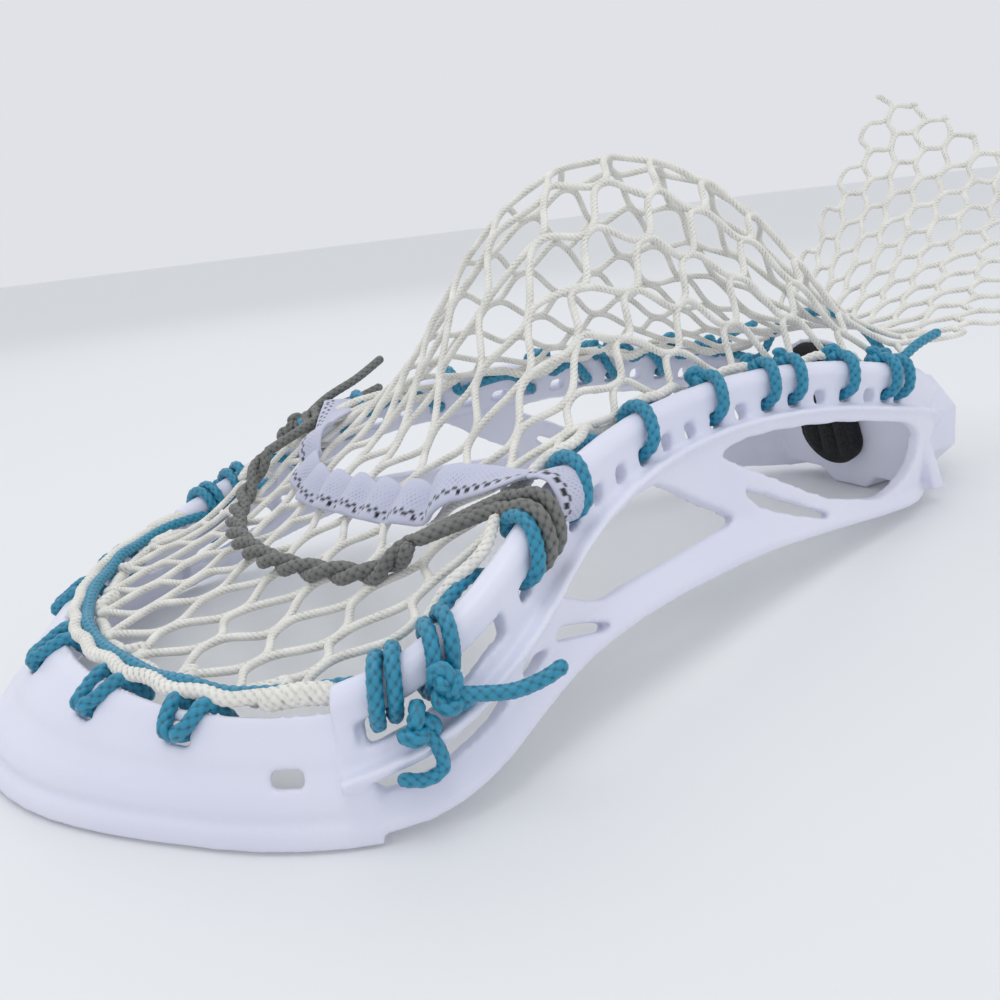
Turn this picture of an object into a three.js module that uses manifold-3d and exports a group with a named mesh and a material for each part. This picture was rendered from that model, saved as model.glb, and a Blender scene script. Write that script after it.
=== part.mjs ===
// Strung lacrosse head, lying face down with its ball pocket up.
// Millimetres. +X runs from the scoop to the shaft socket, +Z is the pocket side.
// Until the last lines everything is built with X = 0 at the scoop's tip and Z = 0
// at its lowest edge; the group is then moved to stand on the centre of its base.
import * as THREE from 'three';
import { mergeVertices } from 'three/addons/utils/BufferGeometryUtils.js';
import Module from 'manifold-3d';

// ---------------------------------------------------------------- driving dimensions
const CORD = 3.0;            // diameter of the braided strings
const MESH_THICKNESS = 1.6;  // the net's solid
const GAP = 0.4;             // clearance kept between pieces that touch

const BEAD_RADIUS = 3.3;     // round rail that carries the net
const WEB_INNER = -1.3;      // web's inner and outer face, measured outward from the bead
const WEB_OUTER = 1.3;
const HOLE_PITCH = 9.25;     // string holes along the web
const HOLE_COUNT = 16;
const HOLE_LENGTH = 4.0;
const HOLE_TOP = 4.0;        // hole's top and bottom, measured down from the bead's centre
const HOLE_BOTTOM = 7.5;
const REAR_HOLE_X = 215.7;   // first regular hole, counted from the throat
const THROAT_HOLES_X = [222.6, 228.6];
const CORNER_SLOTS_X = [64, 73, 82]; // longer slots for the lashings beside the scoop
const CORNER_SLOT_LENGTH = 10.2;
const CORNER_SLOT_EXTRA = 0.9;  // and this much deeper

const SOCKET_START = 246;
const SOCKET_END = 283;
const BORE_START = 256;
const SOCKET_Z = 15.6;       // height of the shaft's axis
const SOCKET_FLATS = 31.2;   // outside, across flats
const BORE_FLATS = 25.8;     // takes a 25.4 mm shaft

const STOP_TOP = [236.5, 50]; // the ball stop's sloping face: [along, height] of its top
const STOP_FOOT = [251, 4.4]; // and of its foot
const PAD_THICKNESS = 4.0;
const PAD_WIDTH = 30;
const PAD_LENGTH = 41;
const PAD_DROP = 1.5;         // from the ball stop's top edge to the pad's

const TAIL_ROOT_X = 244;     // where the uncut net leaves the throat
const TAIL_ROOT_Z = 47;

// Outline of one side, from the scoop's tip to the socket: the centre of the rail that
// carries the net, and beside it the outer lower edge of the face rim.
const OUTLINE = [
  [[21.0, 0, 22.6], [0, 0, 2.2]],
  [[22.3, 13, 22.5], [2.4, 13, 2.2]],
  [[25.6, 26, 22.3], [8.2, 27, 2.2]],
  [[30.8, 39, 22.0], [17.4, 40.5, 2.2]],
  [[37.5, 51, 21.8], [28.4, 53, 2.2]],
  [[46.0, 60.5, 21.9], [40.5, 65, 2.2]],
  [[56.5, 67.4, 23.0], [54, 74, 2.3]],
  [[68.5, 71.0, 26.5], [67, 78.6, 3.2]],
  [[79, 70.6, 31.0], [78.5, 78.6, 6.4]],
  [[88.3, 68.0, 35.8], [88.3, 75.4, 9.8]],
  [[97.5, 64.0, 40.6], [97.5, 71.9, 12.9]],
  [[107.7, 59.0, 44.9], [107.7, 68.4, 15.3]],
  [[127.1, 49.9, 48.6], [127.1, 62.9, 16.8]],
  [[146.5, 42.3, 50.0], [146.5, 57.6, 16.0]],
  [[165.9, 38.3, 50.6], [165.9, 52.2, 14.4]],
  [[185.3, 36.7, 50.0], [185.3, 47.3, 11.6]],
  [[204.7, 36.4, 47.9], [204.7, 42.7, 8.6]],
  [[224.1, 35.6, 44.0], [224.1, 38.4, 5.6]],
  [[240.6, 31.5, 39.7], [240.6, 34.0, 3.6]],
  [[252, 25.5, 35.0], [252, 27.5, 2.6]],
  [[262, 19.0, 31.0], [262, 20.0, 3.4]],
  [[270, 14.5, 28.0], [270, 14.6, 6.0]],
];
const SCOOP_END = 6.35;      // station where the scoop's solid band stops
const WALL_START = 6.0;      // the side wall starts inside the scoop
const WALL_END = 20.6;       // and ends inside the socket's collar

// Windows of one side wall: distance along the head, depth below the bead's centre.
const WINDOWS = {
  rear: [[157, 13.6], [168, 11.9], [190, 12.2], [212, 12.4], [231, 13], [239, 16.5], [238, 24],
    [230, 30.5], [221, 33.6], [213, 33.6], [196, 31.6], [180, 25.2], [166, 18.6]],
  rear_slit: [[163.5, 22.6], [183, 30.4], [200, 37.2], [197.5, 37.4], [181, 33.4], [168, 28.0]],
  middle: [[98.8, 12.8], [108, 11.6], [120, 11.4], [133.5, 12.0], [147, 20.5], [159.6, 28.4],
    [148, 29.0], [134, 28.0], [120, 25.6], [111.5, 23.6]],
  brace_slit: [[98.2, 18.4], [105, 23.4], [112.8, 28.9], [110.2, 28.8], [103.4, 24.6], [98.0, 20.4]],
  brace_gap: [[87.2, 14.2], [96.2, 19.8], [90, 19.8]],
  front: [[60, 13.4], [67, 13.9], [74, 14.0], [82.4, 14.2], [84.6, 18.6], [77, 18.2], [70, 17.6],
    [62, 16.4]],
};

// ---------------------------------------------------------------- materials
const material = (color, roughness) => new THREE.MeshStandardMaterial({ color, roughness, metalness: 0 });
const NYLON = material(0xe9eaf4, 0.4);
const NET = material(0xf2efe6, 0.9);
const TEAL = material(0x2896b4, 0.7);
const GREY = material(0x6e7270, 0.8);
const LILAC = material(0xbec0d4, 0.85);
const FOAM = material(0x1c1c1e, 0.9);

// ---------------------------------------------------------------- solids
const wasm = await Module();
wasm.setup();

function toSolid(geometry) {
  const bare = geometry.clone();
  for (const name of Object.keys(bare.attributes)) {
    if (name !== 'position') bare.deleteAttribute(name);
  }
  const merged = mergeVertices(bare, 1e-4);
  return new wasm.Manifold(new wasm.Mesh({
    numProp: 3,
    vertProperties: new Float32Array(merged.attributes.position.array),
    triVerts: new Uint32Array(merged.index.array),
  }));
}

function toGeometry(solid) {
  const mesh = solid.getMesh();
  const geometry = new THREE.BufferGeometry();
  geometry.setAttribute('position', new THREE.BufferAttribute(mesh.vertProperties, 3));
  geometry.setIndex(new THREE.BufferAttribute(mesh.triVerts, 1));
  return geometry;
}

// A closed solid through rings of points; each ring is also given as flat [x, y] pairs,
// which say how its two end caps are filled.
function loft(rings, flat) {
  const count = rings[0].length;
  const positions = rings.flat().flatMap((p) => [p.x, p.y, p.z]);
  const faces = [];
  for (let i = 0; i + 1 < rings.length; i += 1) {
    for (let j = 0; j < count; j += 1) {
      const a = i * count + j;
      const b = i * count + ((j + 1) % count);
      faces.push(a, b, b + count, a, b + count, a + count);
    }
  }
  const contour = flat.map(([x, y]) => new THREE.Vector2(x, y));
  const cap = THREE.ShapeUtils.triangulateShape(contour, []);
  const capArea = cap.reduce((sum, t) => sum + THREE.ShapeUtils.area(t.map((i) => contour[i])), 0);
  const sameTurn = capArea * THREE.ShapeUtils.area(contour) > 0;
  const last = (rings.length - 1) * count;
  for (const triangle of cap) {
    const [a, b, c] = sameTurn ? triangle : [...triangle].reverse();
    faces.push(a, c, b);
    faces.push(last + a, last + b, last + c);
  }
  const geometry = new THREE.BufferGeometry();
  geometry.setAttribute('position', new THREE.Float32BufferAttribute(positions, 3));
  geometry.setIndex(faces);
  return outward(geometry);
}

// Turns the faces round if they point inward, by the sign of the enclosed volume.
function outward(geometry) {
  const p = geometry.attributes.position;
  const index = geometry.index.array;
  const [a, b, c] = [new THREE.Vector3(), new THREE.Vector3(), new THREE.Vector3()];
  let volume = 0;
  for (let i = 0; i < index.length; i += 3) {
    a.fromBufferAttribute(p, index[i]);
    b.fromBufferAttribute(p, index[i + 1]);
    c.fromBufferAttribute(p, index[i + 2]);
    volume += a.dot(b.cross(c));
  }
  if (volume < 0) {
    for (let i = 0; i < index.length; i += 3) {
      [index[i + 1], index[i + 2]] = [index[i + 2], index[i + 1]];
    }
  }
  return geometry;
}

function mirrored(geometry) {
  const copy = geometry.clone();
  copy.scale(1, -1, 1);
  return outward(copy);
}

const lerp = THREE.MathUtils.lerp;
const smooth = THREE.MathUtils.smoothstep;
const vec = (x, y, z) => new THREE.Vector3(x, y, z);

// ---------------------------------------------------------------- the outline
const railCurve = new THREE.CatmullRomCurve3(OUTLINE.map(([rail]) => vec(...rail)), false, 'centripetal');
const rimCurve = new THREE.CatmullRomCurve3(OUTLINE.map(([, rim]) => vec(...rim)), false, 'centripetal');
const STATIONS = OUTLINE.length - 1;

// Frame of the side wall at a station: down along the wall, out through it.
function wallFrame(station) {
  const t = station / STATIONS;
  const rail = railCurve.getPoint(t);
  const rim = rimCurve.getPoint(t);
  const along = railCurve.getTangent(t);
  const down = rim.clone().sub(rail);
  const height = down.length();
  down.normalize();
  const out = along.clone().cross(down).normalize();
  if (out.y < 0) out.negate();
  return { rail, down, out, height };
}

function wallPoint(frame, outwardBy, depth) {
  return frame.rail.clone().addScaledVector(frame.out, outwardBy).addScaledVector(frame.down, depth);
}

// Station at which the rail reaches a given distance along the head.
function stationAtX(x) {
  let low = 4;
  let high = STATIONS;
  for (let i = 0; i < 40; i += 1) {
    const middle = (low + high) / 2;
    if (railCurve.getPoint(middle / STATIONS).x < x) low = middle;
    else high = middle;
  }
  return (low + high) / 2;
}

function wallStations(from, to, perStation) {
  const count = Math.ceil((to - from) * perStation);
  return Array.from({ length: count + 1 }, (_, i) => from + ((to - from) * i) / count);
}

const sweepWall = (stations, profile) => toSolid(loft(
  stations.map((station) => {
    const frame = wallFrame(station);
    return profile(frame, station).map(([o, d]) => wallPoint(frame, o, d));
  }),
  profile(wallFrame(stations[0]), stations[0]),
));

// Depth of the ridge under the string holes: deeper beside the scoop than at the throat.
const ridgeDepth = (x) => lerp(11.6, 8.6, smooth(x, 88, 122));

// Height of the broad face of the face rim.
function rimHeight(x) {
  const middle = lerp(7, 9.5, smooth(x, 110, 160));
  return lerp(middle, 4.6, smooth(x, 175, 215));
}

// Section of the side wall, as [outward, down] from the bead's centre: round bead, thin web,
// ridge, sloping plate and broad rim.
function wallProfile(frame) {
  const ridge = ridgeDepth(frame.rail.x);
  const bottom = frame.height;
  const rimTop = bottom - rimHeight(frame.rail.x);
  const bead = Array.from({ length: 9 }, (_, i) => {
    const angle = (-0.68 + 0.17 * i) * Math.PI;
    return [BEAD_RADIUS * Math.sin(angle), -BEAD_RADIUS * Math.cos(angle)];
  });
  return [
    ...bead,
    [WEB_OUTER, ridge - 0.6],
    [4.6, ridge - 0.2],
    [5.2, ridge + 0.8],
    [3.4, ridge + 2.0],
    [-0.4, rimTop],
    [0.6, bottom - 1.6],
    [0, bottom],
    [-3.6, bottom],
    [-4.0, rimTop - 0.8],
    [0.4, ridge + 2.6],
    [WEB_INNER, ridge + 1.8],
  ];
}

function windowCutter(corners) {
  const curve = new THREE.CatmullRomCurve3(corners.map(([x, d]) => vec(x, d, 0)), true, 'catmullrom', 0.35);
  const points = curve.getPoints(corners.length * 2).slice(0, -1).map((p) => [p.x, p.y]);
  const ring = (outwardBy) => points.map(([x, depth]) => (
    wallPoint(wallFrame(stationAtX(x)), outwardBy, depth)));
  return toSolid(loft([ring(-9), ring(9)], points));
}

// A string hole, whose top and bottom follow the bead.
function holeCutter(station, length = HOLE_LENGTH, extra = 0) {
  const { x } = railCurve.getPoint(station / STATIONS);
  const tangent = railCurve.getTangent(station / STATIONS);
  const ends = [-1, 1].map((side) => wallFrame(stationAtX(x + (side * length * tangent.x) / 2)));
  const [top, bottom] = [HOLE_TOP - extra / 3, HOLE_BOTTOM + extra];
  const ring = (outwardBy) => [[0, top], [1, top], [1, bottom], [0, bottom]]
    .map(([end, depth]) => wallPoint(ends[end], outwardBy, depth));
  return toSolid(loft([ring(-4), ring(7)], [[0, 0], [1, 0], [1, 1], [0, 1]]));
}

// Stations of the string holes, an equal distance apart along the web.
function holeStations() {
  const stations = THROAT_HOLES_X.map(stationAtX);
  let station = stationAtX(REAR_HOLE_X);
  for (let i = 0; i < HOLE_COUNT; i += 1) {
    stations.push(station);
    const here = wallPoint(wallFrame(station), 0, HOLE_TOP);
    let travelled = 0;
    while (travelled < HOLE_PITCH) {
      station -= 0.01;
      travelled = here.distanceTo(wallPoint(wallFrame(station), 0, HOLE_TOP));
    }
  }
  return stations;
}

// ---------------------------------------------------------------- head frame
const SCOOP_SLOTS = [-3.9, -2.2, 0, 2.2, 3.9]; // stations of the slots for the top string
const CORNER_WINDOW = 5.35;                     // small window through each end of the band
// Section of the scoop: share of the way from the inner edge to the lip, and height.
const SCOOP_PROFILE = [
  [-0.03, 20.8], [0.03, 22.4], [0.16, 21.4], [0.50, 15.6], [0.57, 13.4], [0.80, 9.6], [0.87, 7.4],
  [0.85, 4.9], [0.96, 4.4], [1.0, 2.4], [0.97, 0.3], [0.90, 0], [0.80, 0.4], [0.72, 4.6], [0.45, 10.2],
  [0.10, 17.4],
];

function scoopSection(station) {
  const t = Math.abs(station) / STATIONS;
  const side = station < 0 ? -1 : 1;
  const inner = railCurve.getPoint(t);
  const lip = rimCurve.getPoint(t);
  return SCOOP_PROFILE.map(([share, height]) => vec(
    lerp(inner.x, lip.x, share),
    side * lerp(inner.y, lip.y, share),
    height,
  ));
}

function scoopBand() {
  const stations = wallStations(-SCOOP_END, SCOOP_END, 2.2);
  return toSolid(loft(stations.map(scoopSection), SCOOP_PROFILE.map(([a, z]) => [a * 20, z])));
}

function boxSolid(size, centre, axes) {
  const geometry = new THREE.BoxGeometry(...size);
  geometry.applyMatrix4(new THREE.Matrix4().makeBasis(...axes).setPosition(centre));
  return toSolid(geometry);
}

// Frame on the scoop's upper band: its middle, the way along the lip, down the slope, out of it.
function scoopFrame(station) {
  const t = Math.abs(station) / STATIONS;
  const side = station < 0 ? -1 : 1;
  const [inner, lip] = [railCurve, rimCurve].map((curve) => curve.getPoint(t));
  const at = ([share, height]) => vec(
    lerp(inner.x, lip.x, share),
    side * lerp(inner.y, lip.y, share),
    height,
  );
  const [top, foot] = [at([0.03, 22.4]), at([0.5, 15.6])];
  const slope = foot.clone().sub(top).normalize();
  const tangent = railCurve.getTangent(t);
  tangent.set(tangent.x, side * tangent.y, 0).normalize();
  const along = tangent.multiplyScalar(side);
  const normal = along.clone().cross(slope).normalize();
  if (normal.z < 0) normal.negate();
  const middle = top.clone().lerp(foot, 0.55);
  const edge = at([-0.03, 20.8]);
  const inward = vec(inner.x - lip.x, side * (inner.y - lip.y), 0).normalize();
  return { middle, along, slope: normal.clone().cross(along), normal, edge, inward };
}

function scoopCutters() {
  const cutters = SCOOP_SLOTS.map((station) => {
    const { middle, along, slope, normal } = scoopFrame(station);
    return boxSolid([5.4, 3.8, 16], middle.clone().addScaledVector(normal, -3), [along, slope, normal]);
  });
  for (const side of [-1, 1]) {
    const { middle, along, slope, normal } = scoopFrame(side * CORNER_WINDOW);
    const centre = middle.clone().addScaledVector(slope, 6.4);
    cutters.push(boxSolid([5.6, 3.0, 14], centre, [along, slope, normal]));
  }
  return cutters;
}

const octagon = (flats) => Array.from({ length: 8 }, (_, i) => {
  const angle = (i + 0.5) * (Math.PI / 4);
  const radius = flats / 2 / Math.cos(Math.PI / 8);
  return [radius * Math.sin(angle), radius * Math.cos(angle)];
});

function socketTube(flats, from, to) {
  const ring = (x) => octagon(flats).map(([y, z]) => vec(x, y, SOCKET_Z + z));
  return toSolid(loft([ring(from), ring(to)], octagon(flats)));
}

// Sloping wall behind the ball, between the two side walls, lower towards them.
function ballStopWall() {
  const steps = 12;
  const half = 32;
  const rings = Array.from({ length: steps + 1 }, (_, i) => {
    const across = (2 * i) / steps - 1;
    const drop = 27 * across * across;
    const top = [lerp(STOP_TOP[0], STOP_FOOT[0], drop / 45.6), STOP_TOP[1] - drop];
    return [STOP_FOOT, top, [top[0] + 3.4, top[1] - 1], [STOP_FOOT[0] + 5, STOP_FOOT[1]]]
      .map(([x, z]) => vec(x, half * across, z));
  });
  return toSolid(loft(rings, [[0, 0], [-14, 45], [-11, 44], [5, 0]]));
}

// Room in front of the ball stop, where the pad lies.
function ballStopSpace() {
  const slope = (STOP_FOOT[0] - STOP_TOP[0]) / (STOP_TOP[1] - STOP_FOOT[1]);
  const face = (z) => [STOP_FOOT[0] + slope * (STOP_FOOT[1] - z), z];
  const section = [[228, -2], face(-2), face(60), [228, 60]];
  const ring = (y) => section.map(([x, z]) => vec(x, y, z));
  return toSolid(loft([ring(-17), ring(17)], section));
}

function headFrame() {
  const wall = wallStations(WALL_START, WALL_END, 2);
  const side = sweepWall(wall, wallProfile);
  const cutters = [
    ...Object.values(WINDOWS).map(windowCutter),
    ...holeStations().map((station) => holeCutter(station)),
    ...CORNER_SLOTS_X.map((x) => holeCutter(stationAtX(x), CORNER_SLOT_LENGTH, CORNER_SLOT_EXTRA)),
  ];
  const cutSide = cutters.reduce((all, cutter) => all.subtract(cutter), side);
  const otherSide = toSolid(mirrored(toGeometry(cutSide)));
  let frame = scoopBand();
  for (const cutter of scoopCutters()) frame = frame.subtract(cutter);
  return frame.add(cutSide).add(otherSide)
    .add(ballStopWall())
    .add(socketTube(SOCKET_FLATS, SOCKET_START, SOCKET_END))
    .subtract(ballStopSpace())
    .subtract(socketTube(BORE_FLATS, BORE_START, SOCKET_END + 1));
}

// ---------------------------------------------------------------- soft pieces
// A closed sheet of even thickness through a grid of points on its middle surface.
function shell(grid, thickness) {
  const [rows, columns] = [grid.length, grid[0].length];
  const at = (i, j) => grid[THREE.MathUtils.clamp(i, 0, rows - 1)][THREE.MathUtils.clamp(j, 0, columns - 1)];
  const positions = [];
  for (const sign of [1, -1]) {
    for (let i = 0; i < rows; i += 1) {
      for (let j = 0; j < columns; j += 1) {
        const normal = at(i + 1, j).clone().sub(at(i - 1, j))
          .cross(at(i, j + 1).clone().sub(at(i, j - 1))).normalize();
        positions.push(...at(i, j).clone().addScaledVector(normal, (sign * thickness) / 2).toArray());
      }
    }
  }
  const top = (i, j) => i * columns + j;
  const under = (i, j) => rows * columns + i * columns + j;
  const faces = [];
  const quad = (a, b, c, d) => faces.push(a, b, c, a, c, d);
  for (let i = 0; i + 1 < rows; i += 1) {
    for (let j = 0; j + 1 < columns; j += 1) {
      quad(top(i, j), top(i + 1, j), top(i + 1, j + 1), top(i, j + 1));
      quad(under(i, j), under(i, j + 1), under(i + 1, j + 1), under(i + 1, j));
    }
  }
  for (let i = 0; i + 1 < rows; i += 1) {
    quad(top(i, 0), under(i, 0), under(i + 1, 0), top(i + 1, 0));
    quad(top(i, columns - 1), top(i + 1, columns - 1), under(i + 1, columns - 1), under(i, columns - 1));
  }
  for (let j = 0; j + 1 < columns; j += 1) {
    quad(top(0, j), top(0, j + 1), under(0, j + 1), under(0, j));
    quad(top(rows - 1, j), under(rows - 1, j), under(rows - 1, j + 1), top(rows - 1, j + 1));
  }
  const geometry = new THREE.BufferGeometry();
  geometry.setAttribute('position', new THREE.Float32BufferAttribute(positions, 3));
  geometry.setIndex(faces);
  return outward(geometry);
}

// Height of the net's ridge line along the middle of the head.
const RIDGE = [[22, 22], [50, 25], [75, 31], [90, 36.5], [102, 44.5], [110, 54], [118, 67], [127, 82],
  [136, 94], [148, 102.5], [165, 106], [186, 102.5], [205, 92], [221, 76], [233, 61], [242, 51]];
const ridgeCurve = new THREE.SplineCurve(RIDGE.map(([x, z]) => new THREE.Vector2(x, z)));

function ridgeHeight(x) {
  let [low, high] = [0, 1];
  for (let i = 0; i < 40; i += 1) {
    const middle = (low + high) / 2;
    if (ridgeCurve.getPoint(middle).x < x) low = middle;
    else high = middle;
  }
  return ridgeCurve.getPoint(low).y;
}

// Half width of the net and height of its edge, just inside the side string.
const EDGE_INSET = BEAD_RADIUS + CORD + 2 * GAP + 0.6;
const edgeCurve = new THREE.CatmullRomCurve3(
  OUTLINE.slice(1).map(([rail], i, all) => {
    const before = all[Math.max(i - 1, 0)][0];
    const after = all[Math.min(i + 1, all.length - 1)][0];
    const direction = vec(after[0] - before[0], after[1] - before[1], 0).normalize();
    const inset = rail[0] < 50 ? CORD + 1.8 : EDGE_INSET;
    return vec(rail[0] + direction.y * inset, rail[1] - direction.x * inset, rail[2]);
  }),
  false,
  'centripetal',
);

function netEdge(x) {
  let [low, high] = [0, 1];
  for (let i = 0; i < 40; i += 1) {
    const middle = (low + high) / 2;
    if (edgeCurve.getPoint(middle).x < x) low = middle;
    else high = middle;
  }
  return edgeCurve.getPoint(low);
}

const NET_START = 28.5; // the net's two ends along the head
const NET_END = 240.5;

function netPoint(x, across) {
  const edge = netEdge(x);
  const deep = smooth(x, 80, 130);
  const bulge = (1 - Math.abs(across) ** lerp(2, 2.3, deep)) ** lerp(1, 0.8, deep);
  return vec(x, across * edge.y, lerp(edge.z, Math.max(ridgeHeight(x), edge.z + 0.5), bulge));
}

function meshPocket() {
  const rows = 22;
  const columns = 12;
  const grid = [];
  for (let i = 0; i <= rows; i += 1) {
    const x = lerp(NET_START, NET_END, i / rows);
    const row = [];
    for (let j = 0; j <= columns; j += 1) row.push(netPoint(x, Math.sin(((2 * j) / columns - 1) * (Math.PI / 2))));
    grid.push(row);
  }
  return shell(grid, MESH_THICKNESS);
}

// The uncut end of the net, fanned out behind the throat. Its free edge is an arc through
// two corners, bowed toward a third point.
const TAIL_ROOT = [vec(TAIL_ROOT_X, 28, TAIL_ROOT_Z), vec(TAIL_ROOT_X, -28, TAIL_ROOT_Z)];
const TAIL_EDGE = new THREE.QuadraticBezierCurve3(vec(296, 25, 119), vec(344, -5, 112), vec(338, -47, 56));

function meshTail() {
  const rows = 8;
  const columns = 10;
  const grid = [];
  for (let i = 0; i <= rows; i += 1) {
    const row = [];
    for (let j = 0; j <= columns; j += 1) {
      const root = TAIL_ROOT[0].clone().lerp(TAIL_ROOT[1], j / columns);
      row.push(root.lerp(TAIL_EDGE.getPoint(j / columns), i / rows));
    }
    grid.push(row);
  }
  return shell(grid, MESH_THICKNESS);
}

// A cord of round section along a smooth route.
function cord(points, diameter = CORD, stepLength = 5) {
  const path = new THREE.CatmullRomCurve3(points, false, 'centripetal');
  const shape = new THREE.Shape(Array.from({ length: 8 }, (_, i) => {
    const angle = (i * Math.PI) / 4;
    return new THREE.Vector2((diameter / 2) * Math.cos(angle), (diameter / 2) * Math.sin(angle));
  }));
  const steps = Math.round(path.getLength() / stepLength);
  return new THREE.ExtrudeGeometry(shape, { steps, extrudePath: path, bevelEnabled: false });
}

// One turn round the rail and through its hole, as [outward, down, along].
const TURN = [[-5.6, 0.4, -4.6], [-4.1, -4.1, -3.6], [0, -5.7, -2.6], [4.1, -4.1, -1.6], [5.8, 0, -0.8],
  [4.4, 5.3, -0.2], [0, 5.9, 0], [-4.2, 5.2, 0.6]];

function turnPoints(x, along = 0) {
  const tangent = railCurve.getTangent(stationAtX(x) / STATIONS);
  return TURN.map(([outwardBy, depth, towardScoop]) => (
    wallPoint(wallFrame(stationAtX(x - (towardScoop + along) * tangent.x)), outwardBy, depth)));
}

// String of one side, from the throat to its lashing beside the scoop.
const LACED_HOLES = [3, 5, 8, 12, 17];

// The straight runs between turns lie just inside the bead.
function runPoints(from, to) {
  const count = Math.max(Math.round((from - to - 10) / 9), 1);
  return Array.from({ length: count }, (_, i) => {
    const x = lerp(from - 4, to + 7, (i + 0.5) / count);
    return wallPoint(wallFrame(stationAtX(x)), -5.7, 1.4);
  });
}

function sidewallString(side) {
  const holes = holeStations();
  const xs = LACED_HOLES.map((i) => railCurve.getPoint(holes[i] / STATIONS).x);
  const points = xs.flatMap((x, i) => [...turnPoints(x), ...runPoints(x, xs[i + 1] ?? CORNER_SLOTS_X[1])]);
  points.push(...turnPoints(CORNER_SLOTS_X[1], -1.9), ...turnPoints(CORNER_SLOTS_X[1], 1.9));
  return cord(points.map((p) => vec(p.x, side * p.y, p.z)), CORD, 4.4);
}

// Foam pad on the ball stop's sloping face: a slab with a round lower end.
function ballStopPad() {
  const half = PAD_WIDTH / 2;
  const shape = new THREE.Shape();
  shape.moveTo(-half, 0);
  shape.lineTo(-half, half - PAD_LENGTH);
  shape.absellipse(0, half - PAD_LENGTH, half, half, Math.PI, 2 * Math.PI);
  shape.lineTo(half, 0);
  const geometry = new THREE.ExtrudeGeometry(shape, { depth: PAD_THICKNESS, bevelEnabled: false, curveSegments: 8 });
  const up = vec(STOP_TOP[0] - STOP_FOOT[0], 0, STOP_TOP[1] - STOP_FOOT[1]).normalize();
  const across = vec(0, -1, 0);
  const facing = across.clone().cross(up);
  const origin = vec(STOP_TOP[0], 0, STOP_TOP[1]).addScaledVector(up, -PAD_DROP).addScaledVector(facing, GAP);
  geometry.applyMatrix4(new THREE.Matrix4().makeBasis(across, up, facing).setPosition(origin));
  return geometry;
}

// Point above the net, clear of it by a given height, with the net's own slope.
function overNet(x, y, height) {
  const step = 0.5;
  const at = (dx, dy) => netPoint(x + dx, THREE.MathUtils.clamp((y + dy) / netEdge(x + dx).y, -1, 1));
  const normal = at(step, 0).sub(at(-step, 0)).cross(at(0, step).sub(at(0, -step))).normalize();
  return at(0, 0).addScaledVector(normal, height);
}

// The way a shooting string leaves the net and drops over the rail, as [outward, down].
const OVER_RAIL = [[-8.8, -5.6], [-5.2, -5.6], [-2.4, -5.3], [1, -5.6], [4.4, -3.8], [5.7, 0], [5.2, 3.2]];

function railEnd(x, side, lift) {
  return OVER_RAIL.map(([o, d]) => {
    const point = wallPoint(wallFrame(stationAtX(x)), o * lift, d * lift);
    return vec(point.x, side * point.y, point.z);
  });
}

// Routes of the two shooting strings over the net, as [along, across].
const SHOOTING_CORD = [[84, -51], [77, -43], [71, -31], [66, -18], [63, -3], [63, 16], [67, 32], [74, 45],
  [84, 51]];
const SHOOTING_LACE = [[98, -44], [93, -38], [89, -25], [86, -3], [84, 16], [87, 31], [92, 38], [98, 43]];
const CORD_RAIL_X = 95.6;
const LACE_RAIL_X = 104;
const LACE_WIDTH = 9;
const LACE_THICKNESS = 1.2;
const EDGE_LIFT = 4; // both rise toward the rail before they cross it

function shootingCord() {
  const height = MESH_THICKNESS / 2 + GAP + CORD / 2;
  const points = [
    ...railEnd(CORD_RAIL_X, -1, 1).reverse(),
    ...SHOOTING_CORD.map(([x, y]) => overNet(x, y, height + smooth(Math.abs(y), 42, 52) * EDGE_LIFT)),
    ...railEnd(CORD_RAIL_X, 1, 1),
  ];
  return cord(points, CORD, 4.6);
}

// The lace follows the net's slope across its whole width.
function shootingLace() {
  const height = (MESH_THICKNESS + LACE_THICKNESS) / 2 + GAP * 1.6;
  const route = new THREE.SplineCurve(SHOOTING_LACE.map(([x, y]) => new THREE.Vector2(x, y)));
  const edges = [-0.5, 0, 0.5].map((k) => k * LACE_WIDTH);
  const overTheNet = route.getSpacedPoints(24).map((point, i) => {
    const tangent = route.getTangentAt(i / 24);
    return edges.map((k) => overNet(
      point.x - tangent.y * k,
      point.y + tangent.x * k,
      height + smooth(Math.abs(point.y), 34, 46) * EDGE_LIFT,
    ));
  });
  const end = (side) => {
    const columns = edges.map((k) => railEnd(LACE_RAIL_X - side * k, side, 0.86));
    return OVER_RAIL.map((_, i) => columns.map((column) => column[i]));
  };
  return shell([...end(-1).reverse(), ...overTheNet, ...end(1)], LACE_THICKNESS);
}

// One pass of the top string through a slot of the scoop.
function slotTurn(station) {
  const { middle, along, normal, edge, inward } = scoopFrame(station);
  const up = vec(0, 0, 1);
  const step = (point, amount) => point.clone().addScaledVector(along, amount);
  return [
    step(edge, -4.6).addScaledVector(inward, 2.4),
    step(edge, -2.6).addScaledVector(inward, 0.8).addScaledVector(up, 3.9),
    step(middle, -1).addScaledVector(normal, 2.9),
    middle.clone(),
    step(middle, 0.4).addScaledVector(normal, -6.8),
    step(edge, 2.2).addScaledVector(inward, 2.4).addScaledVector(up, -6.5),
    step(edge, 4.8).addScaledVector(inward, 2.4),
  ];
}

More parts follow.
